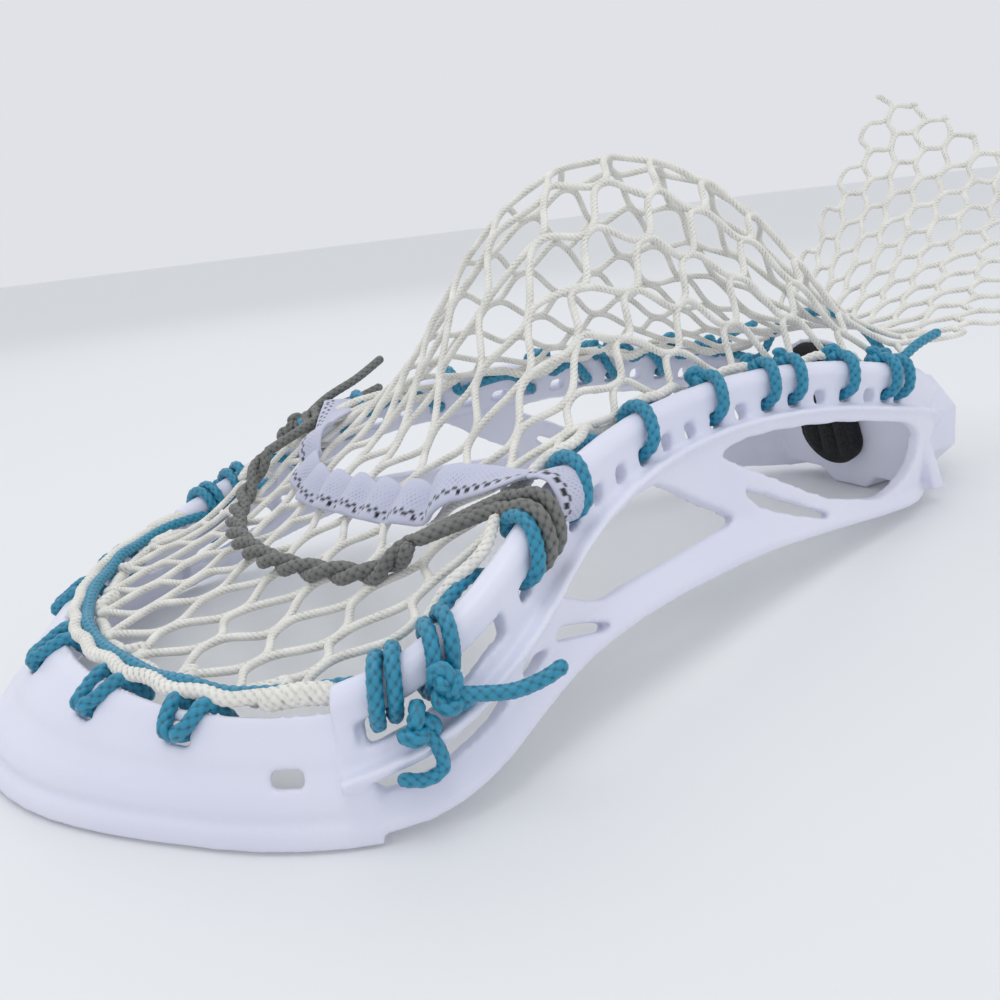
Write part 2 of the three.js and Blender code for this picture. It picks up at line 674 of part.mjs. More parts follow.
function topString() {
  const lashing = [-1.9, 1.9].flatMap((along) => turnPoints(CORNER_SLOTS_X[0], along));
  lashing.shift();
  const near = lashing.map((p) => vec(p.x, -p.y, p.z));
  const run = [-5.5, -4.9, ...SCOOP_SLOTS, 4.9, 5.5].flatMap((station) => {
    if (SCOOP_SLOTS.includes(station)) return slotTurn(station);
    const { edge, inward } = scoopFrame(station);
    return [edge.clone().addScaledVector(inward, 2.4)];
  });
  return cord([...near, ...run, ...lashing.reverse()], CORD, 4.6);
}

// Cord that gathers the net's lower end over the ball stop, tied through both throat holes.
function throatString() {
  const knotSide = (side) => {
    const frame = wallFrame(stationAtX(THROAT_HOLES_X[1] + 5));
    const free = [wallPoint(frame, 4, -16), wallPoint(frame, -1, -9)];
    const turns = [THROAT_HOLES_X[1], THROAT_HOLES_X[0]].flatMap((x) => turnPoints(x));
    return [...free, ...turns].map((p) => vec(p.x, side * p.y, p.z));
  };
  const height = MESH_THICKNESS / 2 + GAP + CORD / 2;
  const across = [-24, -16, -8, 0, 8, 16, 24].map((y) => overNet(238, y, height));
  return cord([...knotSide(-1), ...across, ...knotSide(1).reverse()], CORD, 4.6);
}

// ---------------------------------------------------------------- assembly
const pieces = {
  head_frame: [toGeometry(headFrame()), NYLON],
  mesh_pocket: [meshPocket(), NET],
  mesh_tail: [meshTail(), NET],
  left_sidewall_string: [sidewallString(1), TEAL],
  right_sidewall_string: [sidewallString(-1), TEAL],
  ball_stop_pad: [ballStopPad(), FOAM],
  top_string: [topString(), TEAL],
  throat_string: [throatString(), TEAL],
  shooting_cord: [shootingCord(), GREY],
  shooting_lace: [shootingLace(), LILAC],
};

const group = new THREE.Group();
for (const [name, [geometry, finish]] of Object.entries(pieces)) {
  const mesh = new THREE.Mesh(geometry, finish);
  mesh.name = name;
  group.add(mesh);
}
const box = new THREE.Box3().setFromObject(group);
group.position.set(-(box.min.x + box.max.x) / 2, -(box.min.y + box.max.y) / 2, -box.min.z);

export default group;
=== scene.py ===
"""Strung lacrosse head, lying face down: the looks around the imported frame.

Lengths in the modelling functions are millimetres in head coordinates: X runs from the
scoop's tip to the socket, Y to the left wall, Z up to the pocket. to_row() turns them
into metres in the row frame.
"""

import math

import bpy
import numpy as np
from mathutils import Matrix, Vector


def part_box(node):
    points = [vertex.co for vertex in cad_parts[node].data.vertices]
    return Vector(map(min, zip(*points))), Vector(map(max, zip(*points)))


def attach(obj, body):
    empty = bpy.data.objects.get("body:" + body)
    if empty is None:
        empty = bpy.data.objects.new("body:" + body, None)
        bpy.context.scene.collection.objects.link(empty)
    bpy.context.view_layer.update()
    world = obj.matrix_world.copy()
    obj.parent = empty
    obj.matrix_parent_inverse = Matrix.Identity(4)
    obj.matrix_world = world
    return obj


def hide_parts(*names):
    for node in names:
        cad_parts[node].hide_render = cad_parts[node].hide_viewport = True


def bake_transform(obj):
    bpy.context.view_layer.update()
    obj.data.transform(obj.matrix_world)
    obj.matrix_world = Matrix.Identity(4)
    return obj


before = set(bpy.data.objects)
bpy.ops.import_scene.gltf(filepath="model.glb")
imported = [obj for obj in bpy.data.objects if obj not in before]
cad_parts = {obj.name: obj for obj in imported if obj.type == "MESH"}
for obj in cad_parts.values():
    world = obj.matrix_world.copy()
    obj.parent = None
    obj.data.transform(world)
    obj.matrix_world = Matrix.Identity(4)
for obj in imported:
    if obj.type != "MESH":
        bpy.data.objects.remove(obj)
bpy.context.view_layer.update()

# ---------------------------------------------------------------- dimensions
CORD = 3.0              # the strings' room on the rail
THREAD = 2.75           # and their own thickness
BEAD = 3.3              # radius of the rail that carries the net
PITCH = 9.25            # string holes along the rail
REAR_HOLE_X = 215.7
THROAT_HOLES_X = (222.6, 228.6)
CORNER_SLOTS_X = (64, 73)
SCOOP_SLOTS = (-3.9, -2.2, 0, 2.2, 3.9)  # stations of the top string's slots
STRAND = 1.75           # the net's strands
COLUMNS = 9             # the net's cells across
POCKET_ROWS = 20        # rows of joints from the scoop to the throat
TAIL_ROWS = 10          # and from the throat to the cut end, a rough reading
POCKET_END = 237.0
TAIL_ROOT = ((244, 28, 47), (244, -28, 47))
TAIL_EDGE = ((296, 25, 119), (344, -5, 112), (338, -47, 56))
STOP_TOP = (236.5, 50.0)
STOP_FOOT = (251.0, 4.4)
PAD_SIZE = (30.0, 41.0, 4.0)  # width, length, thickness
PAD_DROP = 1.5
PAD_SEEN = 0.7          # share of the pad's room that its face fills
GAP = 0.4

# One side's rail centre and the face rim's lower edge, from the scoop's tip to the socket.
OUTLINE = [
    ((21.0, 0, 22.6), (0, 0, 2.2)),
    ((22.3, 13, 22.5), (2.4, 13, 2.2)),
    ((25.6, 26, 22.3), (8.2, 27, 2.2)),
    ((30.8, 39, 22.0), (17.4, 40.5, 2.2)),
    ((37.5, 51, 21.8), (28.4, 53, 2.2)),
    ((46.0, 60.5, 21.9), (40.5, 65, 2.2)),
    ((56.5, 67.4, 23.0), (54, 74, 2.3)),
    ((68.5, 71.0, 26.5), (67, 78.6, 3.2)),
    ((79, 70.6, 31.0), (78.5, 78.6, 6.4)),
    ((88.3, 68.0, 35.8), (88.3, 75.4, 9.8)),
    ((97.5, 64.0, 40.6), (97.5, 71.9, 12.9)),
    ((107.7, 59.0, 44.9), (107.7, 68.4, 15.3)),
    ((127.1, 49.9, 48.6), (127.1, 62.9, 16.8)),
    ((146.5, 42.3, 50.0), (146.5, 57.6, 16.0)),
    ((165.9, 38.3, 50.6), (165.9, 52.2, 14.4)),
    ((185.3, 36.7, 50.0), (185.3, 47.3, 11.6)),
    ((204.7, 36.4, 47.9), (204.7, 42.7, 8.6)),
    ((224.1, 35.6, 44.0), (224.1, 38.4, 5.6)),
    ((240.6, 31.5, 39.7), (240.6, 34.0, 3.6)),
    ((252, 25.5, 35.0), (252, 27.5, 2.6)),
    ((262, 19.0, 31.0), (262, 20.0, 3.4)),
    ((270, 14.5, 28.0), (270, 14.6, 6.0)),
]
# The net's ridge line along the middle of the head, as (along, height).
RIDGE = [(22, 22), (50, 25), (75, 31), (90, 36.5), (102, 44.5), (110, 54), (118, 67), (127, 82),
         (136, 94), (148, 102.5), (165, 106), (186, 102.5), (205, 92), (221, 76), (233, 61), (242, 51)]

SCOOP_TIP = np.array([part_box("head_frame")[0].x, 0, 0])


def to_row(points):
    return np.asarray(points, float) * 0.001 + SCOOP_TIP


# ---------------------------------------------------------------- curves
def catmull(points, t):
    """Points on the centripetal spline through points, at shares t of the way by knot."""
    points = np.asarray(points, float)
    padded = np.vstack([2 * points[0] - points[1], points, 2 * points[-1] - points[-2]])
    last = len(points) - 1
    t = np.clip(np.asarray(t, float), 0, 1) * last
    i = np.minimum(t.astype(int), last - 1)
    w = (t - i)[..., None]
    p0, p1, p2, p3 = (padded[i + k] for k in range(4))
    d0, d1, d2 = (
        np.maximum(np.sqrt(np.linalg.norm(b - a, axis=-1)), 1e-6)[..., None]
        for a, b in ((p0, p1), (p1, p2), (p2, p3))
    )
    m1 = ((p1 - p0) / d0 - (p2 - p0) / (d0 + d1) + (p2 - p1) / d1) * d1
    m2 = ((p2 - p1) / d1 - (p3 - p1) / (d1 + d2) + (p3 - p2) / d2) * d1
    c2 = 3 * (p2 - p1) - 2 * m1 - m2
    c3 = 2 * (p1 - p2) + m1 + m2
    return p1 + w * (m1 + w * (c2 + w * c3))


def lerp(a, b, t):
    return a + (b - a) * t


def smooth(x, low, high):
    t = np.clip((np.asarray(x, float) - low) / (high - low), 0, 1)
    return t * t * (3 - 2 * t)


def unit(v):
    return v / np.maximum(np.linalg.norm(v, axis=-1, keepdims=True), 1e-9)


def length_along(points):
    return np.concatenate([[0], np.cumsum(np.linalg.norm(np.diff(points, axis=0), axis=1))])


def resample(points, step):
    """The smooth line through points, cut into even steps."""
    fine = catmull(points, np.linspace(0, 1, len(points) * 12))
    run = length_along(fine)
    at = np.linspace(0, run[-1], max(int(run[-1] / step), 4) + 1)
    return np.stack([np.interp(at, run, fine[:, k]) for k in range(3)], axis=1), at


# ---------------------------------------------------------------- places on the head
SAMPLES = np.linspace(0, 1, 4001)
RAIL = catmull([rail for rail, _ in OUTLINE], SAMPLES)
RIM = catmull([rim for _, rim in OUTLINE], SAMPLES)
STATIONS = len(OUTLINE) - 1


def station_at(x):
    return np.interp(x, RAIL[:, 0], SAMPLES)


def wall_axes(t):
    """Rail centre, down the wall, out through it and along the rail at share t of the outline."""
    rail = np.array([np.interp(t, SAMPLES, RAIL[:, k]) for k in range(3)])
    rim = np.array([np.interp(t, SAMPLES, RIM[:, k]) for k in range(3)])
    ahead = np.array([np.interp(min(t + 0.002, 1), SAMPLES, RAIL[:, k]) for k in range(3)])
    behind = np.array([np.interp(max(t - 0.002, 0), SAMPLES, RAIL[:, k]) for k in range(3)])
    along = unit(ahead - behind)
    down = unit(rim - rail)
    out = unit(np.cross(along, down))
    return rail, down, out if out[1] > 0 else -out, along


def rail_point(x, outward, depth, side=1):
    rail, down, out, _ = wall_axes(station_at(x))
    point = rail + out * outward + down * depth
    return point * np.array([1, side, 1])


def scoop_axes(station):
    """Middle of the scoop's upper band, the way along it, its normal, its inner edge, and inward."""
    t = abs(station) / STATIONS
    side = -1 if station < 0 else 1
    rail, _, _, tangent = wall_axes(t)
    rim = np.array([np.interp(t, SAMPLES, RIM[:, k]) for k in range(3)])
    flip = np.array([1, side, 1])

    def at(share, height):
        return np.array([lerp(rail[0], rim[0], share), side * lerp(rail[1], rim[1], share), height])

    top, foot = at(0.03, 22.4), at(0.5, 15.6)
    along = unit(tangent * np.array([1, 1, 0]) * flip) * side
    normal = np.cross(along, unit(foot - top))
    normal = unit(normal if normal[2] > 0 else -normal)
    inward = unit((rail - rim) * flip * np.array([1, 1, 0]))
    return lerp(top, foot, 0.55), along, normal, at(-0.03, 20.8), inward


def hole_places():
    """X of the string holes, an equal way apart, after the two at the throat."""
    run = length_along(RAIL)
    start = np.interp(REAR_HOLE_X, RAIL[:, 0], run)
    return [float(np.interp(start - PITCH * i, run, RAIL[:, 0])) for i in range(16)]


HOLES = hole_places()

# ---------------------------------------------------------------- the net's surface
ridge_line = catmull(np.array([(x, z, 0) for x, z in RIDGE]), np.linspace(0, 1, 2001))
EDGE_INSET = BEAD + CORD + 2 * GAP + 0.6


def edge_line():
    rail = np.array([r for r, _ in OUTLINE])
    after = np.vstack([rail[2:], rail[-1:]])
    before = np.vstack([rail[1:2], rail[1:-1]])
    direction = unit((after - before) * np.array([1, 1, 0]))
    inset = np.where(rail[1:, 0] < 50, CORD + 1.8, EDGE_INSET)
    moved = rail[1:].copy()
    moved[:, 0] += direction[:, 1] * inset
    moved[:, 1] -= direction[:, 0] * inset
    return catmull(moved, np.linspace(0, 1, 3001))


EDGE = edge_line()


def half_width(x):
    return np.interp(x, EDGE[:, 0], EDGE[:, 1])


def net_height(x, across):
    edge = np.interp(x, EDGE[:, 0], EDGE[:, 2])
    ridge = np.maximum(np.interp(x, ridge_line[:, 0], ridge_line[:, 1]), edge + 0.5)
    deep = smooth(x, 80, 130)
    bulge = (1 - np.abs(np.clip(across, -1, 1)) ** lerp(2, 2.3, deep)) ** lerp(1, 0.8, deep)
    return lerp(edge, ridge, bulge)


def band_share(band, x):
    """Where a strand line lies across the net at x: -1 at the right edge to 1 at the left one."""
    middle = lerp(9.0, 7.8, smooth(x, 30, 100)) - 2.0 * smooth(x, 140, 215)
    near = 1 + 0.5 * np.exp(-((x - 112) / 20) ** 2) - 0.2 * smooth(x, 150, 190)
    far = 1 + 0.45 * smooth(x, 70, 130)
    below = -(1 - np.clip(band / middle, 0, 1) ** near)
    above = 1 - np.clip((BANDS - band) / (BANDS - middle), 0, 1) ** far
    return np.where(band < middle, below, above)


def net_surface():
    """Grid of points on the net: PER_ROW to each row of joints, PER_BAND to each half cell."""
    stations = np.arange(28, POCKET_END + 0.1, 2.0)
    across = np.linspace(-1, 1, 401)
    runs = [length_along(np.stack([across * half_width(x), net_height(x, across)], axis=1)) for x in stations]
    rows = np.linspace(0, LAST_ROW, LAST_ROW * PER_ROW + 1)
    p0, p1, p2 = (np.array(p, float) for p in TAIL_EDGE)
    columns = []
    for band in np.linspace(0, BANDS, BANDS * PER_BAND + 1):
        u = band / BANDS * 2 - 1
        side = np.sign(u) if u else 1
        # the first row lies inside the scoop's edge
        t = abs(u) * 5.2 / STATIONS
        rail = np.array([np.interp(t, SAMPLES, RAIL[:, k]) for k in range(3)])
        rim = np.array([np.interp(t, SAMPLES, RIM[:, k]) for k in range(3)])
        start = rail + unit((rail - rim) * np.array([1, 1, 0])) * 6.4
        x = np.linspace(start[0], POCKET_END, 160)
        shares = band_share(band, stations)
        lying = [np.interp((v + 1) / 2 * run[-1], run, across) for v, run in zip(shares, runs)]
        y = lerp(side * start[1], np.interp(x, stations, lying) * half_width(x), smooth(x, start[0], 84))
        z = net_height(x, y / half_width(x))
        edge = np.abs(np.interp(x, stations, shares)) ** 10 * smooth(x, start[0] + 4, start[0] + 30)
        pocket = np.stack([x, y + edge * side, z + edge * 1.6], axis=1)
        run = length_along(pocket) * 0.25 + (x - x[0]) * 0.75
        throat_row = POCKET_ROWS - 2.0 * abs(u) ** 3
        at = np.clip(rows / throat_row, 0, 1) * run[-1]
        laid = np.stack([np.interp(at, run, pocket[:, k]) for k in range(3)], axis=1)
        # and the loose end fans out past the throat
        s = (1 - u) / 2
        tip = (1 - s) ** 2 * p0 + 2 * s * (1 - s) * p1 + s ** 2 * p2
        root = lerp(np.array(TAIL_ROOT[1], float), np.array(TAIL_ROOT[0], float), (u + 1) / 2)
        reach = 1.03 - 0.15 * smooth(s, -0.1, 0.6) * (1 - smooth(s, 0.6, 0.95))
        share = np.clip((rows - throat_row) / (LAST_ROW - throat_row), 0, 1) * reach
        loose = root + (tip - root) * share[:, None]
        column = np.where((rows <= throat_row)[:, None], laid, loose)
        for _ in range(30):  # ease the net over the throat
            near = np.abs(rows - throat_row)[1:-1, None] < 1.8
            eased = 0.5 * column[1:-1] + 0.25 * (column[:-2] + column[2:])
            column[1:-1] = np.where(near, eased, column[1:-1])
        columns.append(column)
    return np.stack(columns, axis=1)


BANDS = COLUMNS * 2
LAST_ROW = POCKET_ROWS + TAIL_ROWS
PER_ROW, PER_BAND = 6, 4
GRID = net_surface()


def on_net(row, band, lift=0.0):
    """A point on the net at a row and a band, lifted off it to the pocket side."""
    i = np.clip(row * PER_ROW, 0, len(GRID) - 1.001)
    j = np.clip(band * PER_BAND, 0, GRID.shape[1] - 1.001)
    i0, j0 = int(i), int(j)
    a, b = i - i0, j - j0
    c00, c10, c01, c11 = GRID[i0, j0], GRID[i0 + 1, j0], GRID[i0, j0 + 1], GRID[i0 + 1, j0 + 1]
    normal = unit(np.cross(c10 - c00, c01 - c00))
    point = (c00 * (1 - a) + c10 * a) * (1 - b) + (c01 * (1 - a) + c11 * a) * b
    return point + normal * lift


def over_net(x, y, lift=0.0):
    """A point of the net above (x, y), lifted off it to the pocket side."""
    def height(px, py):
        return net_height(px, py / half_width(px))
    slope = np.array([height(x + 0.5, y) - height(x - 0.5, y), height(x, y + 0.5) - height(x, y - 0.5)])
    return np.array([x, y, height(x, y)]) + unit(np.array([-slope[0], -slope[1], 1.0])) * lift


# ---------------------------------------------------------------- mesh making
class Builder:
    """Collects tubes and sheets into one mesh, with the braid's height at each vertex, which the materials
    use to paint shade between the strands.
    """

    def __init__(self):
        self.points, self.faces, self.crown, self.mark, self.count = [], [], [], [], 0

    def add(self, points, faces, crown, mark=None):
        self.points.append(points)
        self.faces += [[v + self.count for v in face] for face in faces]
        self.crown.append(crown)
        self.mark.append(np.zeros(len(points)) if mark is None else mark)
        self.count += len(points)

    def build(self, name, material):
        mesh = bpy.data.meshes.new(name)
        mesh.from_pydata(to_row(np.vstack(self.points)).tolist(), [], self.faces)
        for layer, values in (("crown", self.crown), ("mark", self.mark)):
            attribute = mesh.attributes.new(layer, "FLOAT", "POINT")
            attribute.data.foreach_set("value", np.concatenate(values).astype(np.float32))
        mesh.polygons.foreach_set("use_smooth", np.ones(len(mesh.polygons), bool))
        mesh.materials.append(material)
        mesh.update()
        thing = bpy.data.objects.new(name, mesh)
        bpy.context.scene.collection.objects.link(thing)
        return thing


def braid(angle, along, around, pitch, over=0.55):
    """Height, 0 to 1, of a tubular braid's surface: two families of strands over and under."""
    a = angle * around / (2 * np.pi) - along / pitch
    b = angle * around / (2 * np.pi) + along / pitch
    i, j = np.round(a), np.round(b)
    up_a = np.sqrt(np.clip(1 - (2 * (a - i)) ** 2, 0, 1))
    up_b = np.sqrt(np.clip(1 - (2 * (b - j)) ** 2, 0, 1))
    lift_a = np.cos(np.pi * b) * np.where(i % 2 == 0, 1, -1)
    lift_b = -np.cos(np.pi * a) * np.where(j % 2 == 0, 1, -1)
    high = np.maximum(up_a + over * lift_a, up_b + over * lift_b)
    return np.clip((high - 0.3) / (0.7 + over), 0, 1)


def frames_along(points):
    """Two cross directions at each point, without twist."""
    tangent = unit(np.gradient(points, axis=0))
    start = np.array([0, 0, 1.0]) if abs(tangent[0][2]) < 0.9 else np.array([0, 1.0, 0])
    side = unit(start - tangent[0] * (start @ tangent[0]))
    sides = [side]
    for k in range(1, len(points)):
        side = unit(side - tangent[k] * (side @ tangent[k]))
        sides.append(side)
    sides = np.array(sides)
    return sides, np.cross(tangent, sides)


def ring_faces(rows, columns):
    """Quads of a tube of rows rings, and fans to the two hub points after them."""
    grid = np.arange(rows * columns).reshape(rows, columns)
    turned = np.roll(grid, -1, axis=1)
    quads = np.stack([grid[:-1], turned[:-1], turned[1:], grid[1:]], axis=-1).reshape(-1, 4).tolist()
    first, last = rows * columns, rows * columns + 1
    quads += [[b, a, first] for a, b in zip(grid[0], turned[0])]
    quads += [[a, b, last] for a, b in zip(grid[-1], turned[-1])]
    return quads


def tube(builder, route, diameter=THREAD, step=0.34, sides=28, around=4, pitch=2.1, relief=0.24):
    """A braided cord along route."""
    points, run = resample(route, step)
    u, v = frames_along(points)
    angle = np.linspace(0, 2 * np.pi, sides, endpoint=False)
    height = braid(angle[None, :], run[:, None], around, pitch)
    radius = diameter / 2 * (1 - relief + relief * 1.15 * height)
    end = np.minimum(run, run[-1] - run)[:, None] / (diameter * 0.35)
    radius = radius * lerp(0.45, 1, np.sqrt(np.clip(end, 0, 1)))
    across, up = radius * np.cos(angle), radius * np.sin(angle)
    ring = points[:, None, :] + across[..., None] * u[:, None, :] + up[..., None] * v[:, None, :]
    points_all = np.vstack([ring.reshape(-1, 3), points[:1], points[-1:]])
    # the braid's height at each vertex: the cord material paints shade where it is low, in the crevices
    crown = np.concatenate([height.ravel(), [0.3, 0.3]])
    builder.add(points_all, ring_faces(len(points), sides), crown)


def knot(builder, centre, axis, size=1.05, turn=0.0, **style):
    """An overhand knot pulled tight: a trefoil of cord around axis."""
    axis = unit(np.asarray(axis, float))
    side = unit(np.cross(axis, [0.3, 0.2, 1.0]))
    other = np.cross(axis, side)
    t = np.linspace(0.2, 2 * np.pi - 0.2, 26) + turn
    x = np.sin(t) + 1.75 * np.sin(2 * t)
    y = np.cos(t) - 1.75 * np.cos(2 * t)
    z = -1.15 * np.sin(3 * t)
    tube(builder, centre + size * (x[:, None] * side + y[:, None] * other + z[:, None] * axis), **style)


# ---------------------------------------------------------------- materials
FIBRE = 9000            # fineness of a cord's fibre


def srgb(red, green, blue):
    channels = (red, green, blue)
    return tuple(((c / 255 + 0.055) / 1.055) ** 2.4 if c > 10 else c / 255 / 12.92 for c in channels) + (1,)


def new_material(name, roughness, sheen=0.0, specular=0.5, subsurface=0.0):
    material = bpy.data.materials.new(name)
    material.use_nodes = True
    shader = material.node_tree.nodes["Principled BSDF"]
    shader.inputs["Roughness"].default_value = roughness
    shader.inputs["Sheen Weight"].default_value = sheen
    shader.inputs["Sheen Roughness"].default_value = 0.5
    shader.inputs["Specular IOR Level"].default_value = specular
    shader.inputs["Subsurface Weight"].default_value = subsurface
    shader.inputs["Subsurface Scale"].default_value = 0.003
    return material, material.node_tree.nodes, material.node_tree.links, shader


def noise(nodes, links, scale, detail=3.0):
    coordinates = nodes.new("ShaderNodeTexCoord")
    texture = nodes.new("ShaderNodeTexNoise")
    texture.inputs["Scale"].default_value = scale
    texture.inputs["Detail"].default_value = detail
    links.new(coordinates.outputs["Object"], texture.inputs["Vector"])
    return texture.outputs["Fac"]


def ramp(nodes, links, value, stops):
    made = nodes.new("ShaderNodeValToRGB")
    made.color_ramp.elements[0].position, made.color_ramp.elements[0].color = stops[0]
    made.color_ramp.elements[1].position, made.color_ramp.elements[1].color = stops[-1]
    for place, color in stops[1:-1]:
        made.color_ramp.elements.new(place).color = color
    links.new(value, made.inputs["Fac"])
    return made.outputs["Color"]


def mixed(nodes, links, share, a, b, blend="MIX"):
    made = nodes.new("ShaderNodeMix")
    made.data_type, made.blend_type = "RGBA", blend
    for socket, value in ((0, share), (6, a), (7, b)):
        if isinstance(value, (float, tuple)):
            made.inputs[socket].default_value = value
        else:
            links.new(value, made.inputs[socket])
    return made.outputs[2]


def bump(nodes, links, shader, height, distance, strength=0.5):
    made = nodes.new("ShaderNodeBump")
    made.inputs["Distance"].default_value = distance
    made.inputs["Strength"].default_value = strength
    links.new(height, made.inputs["Height"])
    links.new(made.outputs["Normal"], shader.inputs["Normal"])


def roughness_range(nodes, links, shader, value, low, high):
    made = nodes.new("ShaderNodeMapRange")
    made.inputs["To Min"].default_value = low
    made.inputs["To Max"].default_value = high
    links.new(value, made.inputs["Value"])
    links.new(made.outputs["Result"], shader.inputs["Roughness"])


def nylon_material():
    material, nodes, links, shader = new_material("moulded_nylon", 0.34, specular=0.5, subsurface=0.08)
    shader.inputs["Subsurface Radius"].default_value = (0.9, 0.9, 1.0)
    tone = ramp(nodes, links, noise(nodes, links, 18, 2),
                [(0.3, srgb(226, 227, 243)), (0.7, srgb(234, 235, 248))])
    links.new(tone, shader.inputs["Base Color"])
    roughness_range(nodes, links, shader, noise(nodes, links, 140, 4), 0.26, 0.44)
    bump(nodes, links, shader, noise(nodes, links, 2600, 2), 0.00006, 0.35)
    return material


def cord_material(name, painted_crevice_shade, light, roughness, sheen=0.2, specular=0.5):
    """Braided cord: painted shade in the crevices between its strands, the lighter colour on their crowns,
    with a fine fibre.
    """
    material, nodes, links, shader = new_material(name, roughness, sheen, specular)
    crown = nodes.new("ShaderNodeAttribute")
    crown.attribute_name = "crown"
    # painted shade: the colour ramps from the lighter colour on the strands' crowns down to the darker one in
    # the crevices, where shade falls
    tone = ramp(nodes, links, crown.outputs["Fac"], [(0.0, painted_crevice_shade), (0.75, light)])
    patchy = ramp(nodes, links, noise(nodes, links, 260, 3),
                  [(0.3, (0.86, 0.86, 0.86, 1)), (0.7, (1, 1, 1, 1))])
    links.new(mixed(nodes, links, 1.0, tone, patchy, "MULTIPLY"), shader.inputs["Base Color"])
    roughness_range(nodes, links, shader, noise(nodes, links, 900, 2), roughness - 0.08, roughness + 0.08)
    bump(nodes, links, shader, noise(nodes, links, FIBRE, 2), 0.00008, 0.4)
    return material


def lace_material():
    material, nodes, links, shader = new_material("woven_lace", 0.85, sheen=0.3)
    crown = nodes.new("ShaderNodeAttribute")
    crown.attribute_name = "crown"
    mark = nodes.new("ShaderNodeAttribute")
    mark.attribute_name = "mark"
    # painted shade: the lace's colour darkens from the crowns of its weave into the hollows between them
    tone = ramp(nodes, links, crown.outputs["Fac"], [(0.0, srgb(128, 130, 156)), (0.6, srgb(200, 202, 222))])
    links.new(mixed(nodes, links, mark.outputs["Fac"], tone, srgb(14, 14, 16)), shader.inputs["Base Color"])
    bump(nodes, links, shader, noise(nodes, links, 7000, 2), 0.00006, 0.4)
    return material


def foam_material():
    material, nodes, links, shader = new_material("closed_cell_foam", 0.8, specular=0.35)
    tone = ramp(nodes, links, noise(nodes, links, 1500, 4),
                [(0.3, srgb(16, 16, 17)), (0.7, srgb(46, 46, 48))])
    links.new(tone, shader.inputs["Base Color"])
    bump(nodes, links, shader, noise(nodes, links, 3000, 3), 0.00015, 0.5)
    return material


NYLON = nylon_material()
# each cord's darker colour is painted shade for the crevices between its strands
NET = cord_material("braided_net", srgb(186, 180, 164), srgb(248, 246, 238), 0.85, 0.2)
TEAL = cord_material("teal_cord", srgb(2, 48, 70), srgb(30, 146, 180), 0.38, 0.1, 0.6)
GREY = cord_material("grey_cord", srgb(30, 30, 28), srgb(122, 124, 119), 0.55, 0.1)
LACE = lace_material()
FOAM = foam_material()


def place(thing, slot, *nodes, body="head"):
    if body:
        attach(thing, body)
    if nodes:
        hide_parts(*nodes)
    return thing


# ---------------------------------------------------------------- head frame
SKIN_VOXEL = 0.00062    # metres
SKIN_PASSES = 6


def finish_frame():
    """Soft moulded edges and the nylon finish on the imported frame."""
    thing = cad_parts["head_frame"]
    remesh = thing.modifiers.new("skin", "REMESH")
    remesh.mode = "VOXEL"
    remesh.voxel_size = SKIN_VOXEL
    remesh.use_smooth_shade = True
    soften = thing.modifiers.new("moulded_edges", "SMOOTH")
    soften.factor = 0.5
    soften.iterations = SKIN_PASSES
    thing.data.materials.clear()
    thing.data.materials.append(NYLON)


# ---------------------------------------------------------------- net
JOINT = 2.3             # half the length of a joint of two strands
TAIL_JOINT = 2.8        # and of one in the loose end
JOINT_SHARE = 0.36      # the most of a row that a half joint takes
JOINT_THREAD = 2.4
TIP_THREAD = 3.2        # the bound ends of the loose end
NET_STYLE = {"diameter": STRAND, "step": 0.4, "sides": 12, "around": 4, "pitch": 1.15, "relief": 0.26}


def spacing(row, band):
    """Lengths of one row and of one band at a place on the net."""
    row, band = np.clip(row, 0.5, LAST_ROW - 0.7), np.clip(band, 0.5, BANDS - 0.5)
    return (np.linalg.norm(on_net(row + 0.5, band) - on_net(row - 0.5, band)),
            np.linalg.norm(on_net(row, band + 0.5) - on_net(row, band - 0.5)))


def joint_reach(row, band):
    """Half length, in rows, of the joint at a place."""
    return min((JOINT if row < POCKET_ROWS else TAIL_JOINT) / spacing(row, band)[0], JOINT_SHARE)


def net_strand(builder, band, wander):
    """One strand of the net: it joins its two neighbours in turn, row by row."""
    points = []
    for row in range(LAST_ROW + 1):
        own = (band + row) % 2 == 0
        line = band if own else band + 1
        aside = (0.5 if own else -0.5) * STRAND * 0.72 / spacing(row, line)[1]
        shift, lean = wander[row, line]
        for along in (-1, 1):
            at = np.clip(row + along * joint_reach(row, line) + shift, 0, LAST_ROW - 0.2)
            points.append(on_net(at, np.clip(line + aside + lean * along, 0, BANDS), 0.12 * along))
    tube(builder, points, **NET_STYLE)


def net_joint(builder, row, line, wander):
    """The short thick braid where two strands run together."""
    shift, lean = wander[row, line]
    reach = joint_reach(row, line) * 1.15
    route = [on_net(row + shift + reach * k, line + lean * k) for k in (-1, -0.4, 0.4, 1)]
    tube(builder, route, diameter=JOINT_THREAD, step=0.4, sides=14, around=5, pitch=1.25, relief=0.24)


def net_piece():
    rng = np.random.default_rng(4)
    wander = rng.normal(0, 0.035, (LAST_ROW + 1, BANDS + 1, 2)) * [1.0, 1.6]
    builder = Builder()
    for band in range(BANDS):
        net_strand(builder, band, wander)
    for row in range(1, LAST_ROW):
        for line in range(1 + row % 2, BANDS, 2):
            if (line + row) % 2 == 0:
                net_joint(builder, row, line, wander)
    for line in range(BANDS + 1):
        if (line + LAST_ROW) % 2 == 0:  # bound ends of the tail's strands
            route = [on_net(LAST_ROW - 0.2 - k, line) for k in (0.2, 0.12, 0.05, 0.0)]
            tube(builder, route, diameter=TIP_THREAD, step=0.4, sides=12, around=4, pitch=1.2)
    for side in (-1, 1):
        edge_strand(builder, side)
    scoop_bands(builder)
    thing = builder.build("net", NET)
    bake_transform(thing)
    place(thing, "net", "mesh_pocket", "mesh_tail", body=None)


